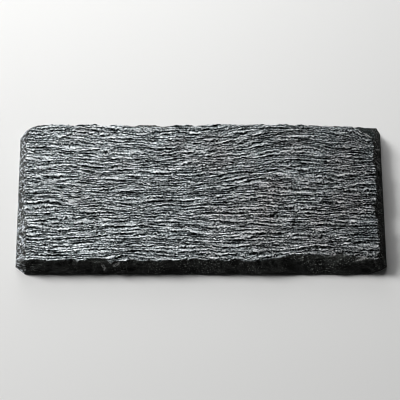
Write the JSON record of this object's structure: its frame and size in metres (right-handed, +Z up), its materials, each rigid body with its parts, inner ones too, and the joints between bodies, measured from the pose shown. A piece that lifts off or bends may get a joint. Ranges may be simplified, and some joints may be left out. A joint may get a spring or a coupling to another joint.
{
  "type": "slate slab",
  "caption": "Flat rectangular slab of riven slate with sloping hand-chipped edges and knocked-off corners, for serving or display.",
  "frame": {"origin": "middle of the underside's bounding rectangle, on the surface that the slab rests on", "axes": "+X along the long side, +Y towards the back long edge, +Z up out of the riven face"},
  "size_m": [0.2397, 0.12, 0.0105],
  "materials": {
    "slate": "riven along the cleavage, dark blue-grey, faintly silky; chipped edges blacker and rough"
  },
  "bodies": {
    "root": {"slate_slab": "slate"}
  },
  "joints": []
}
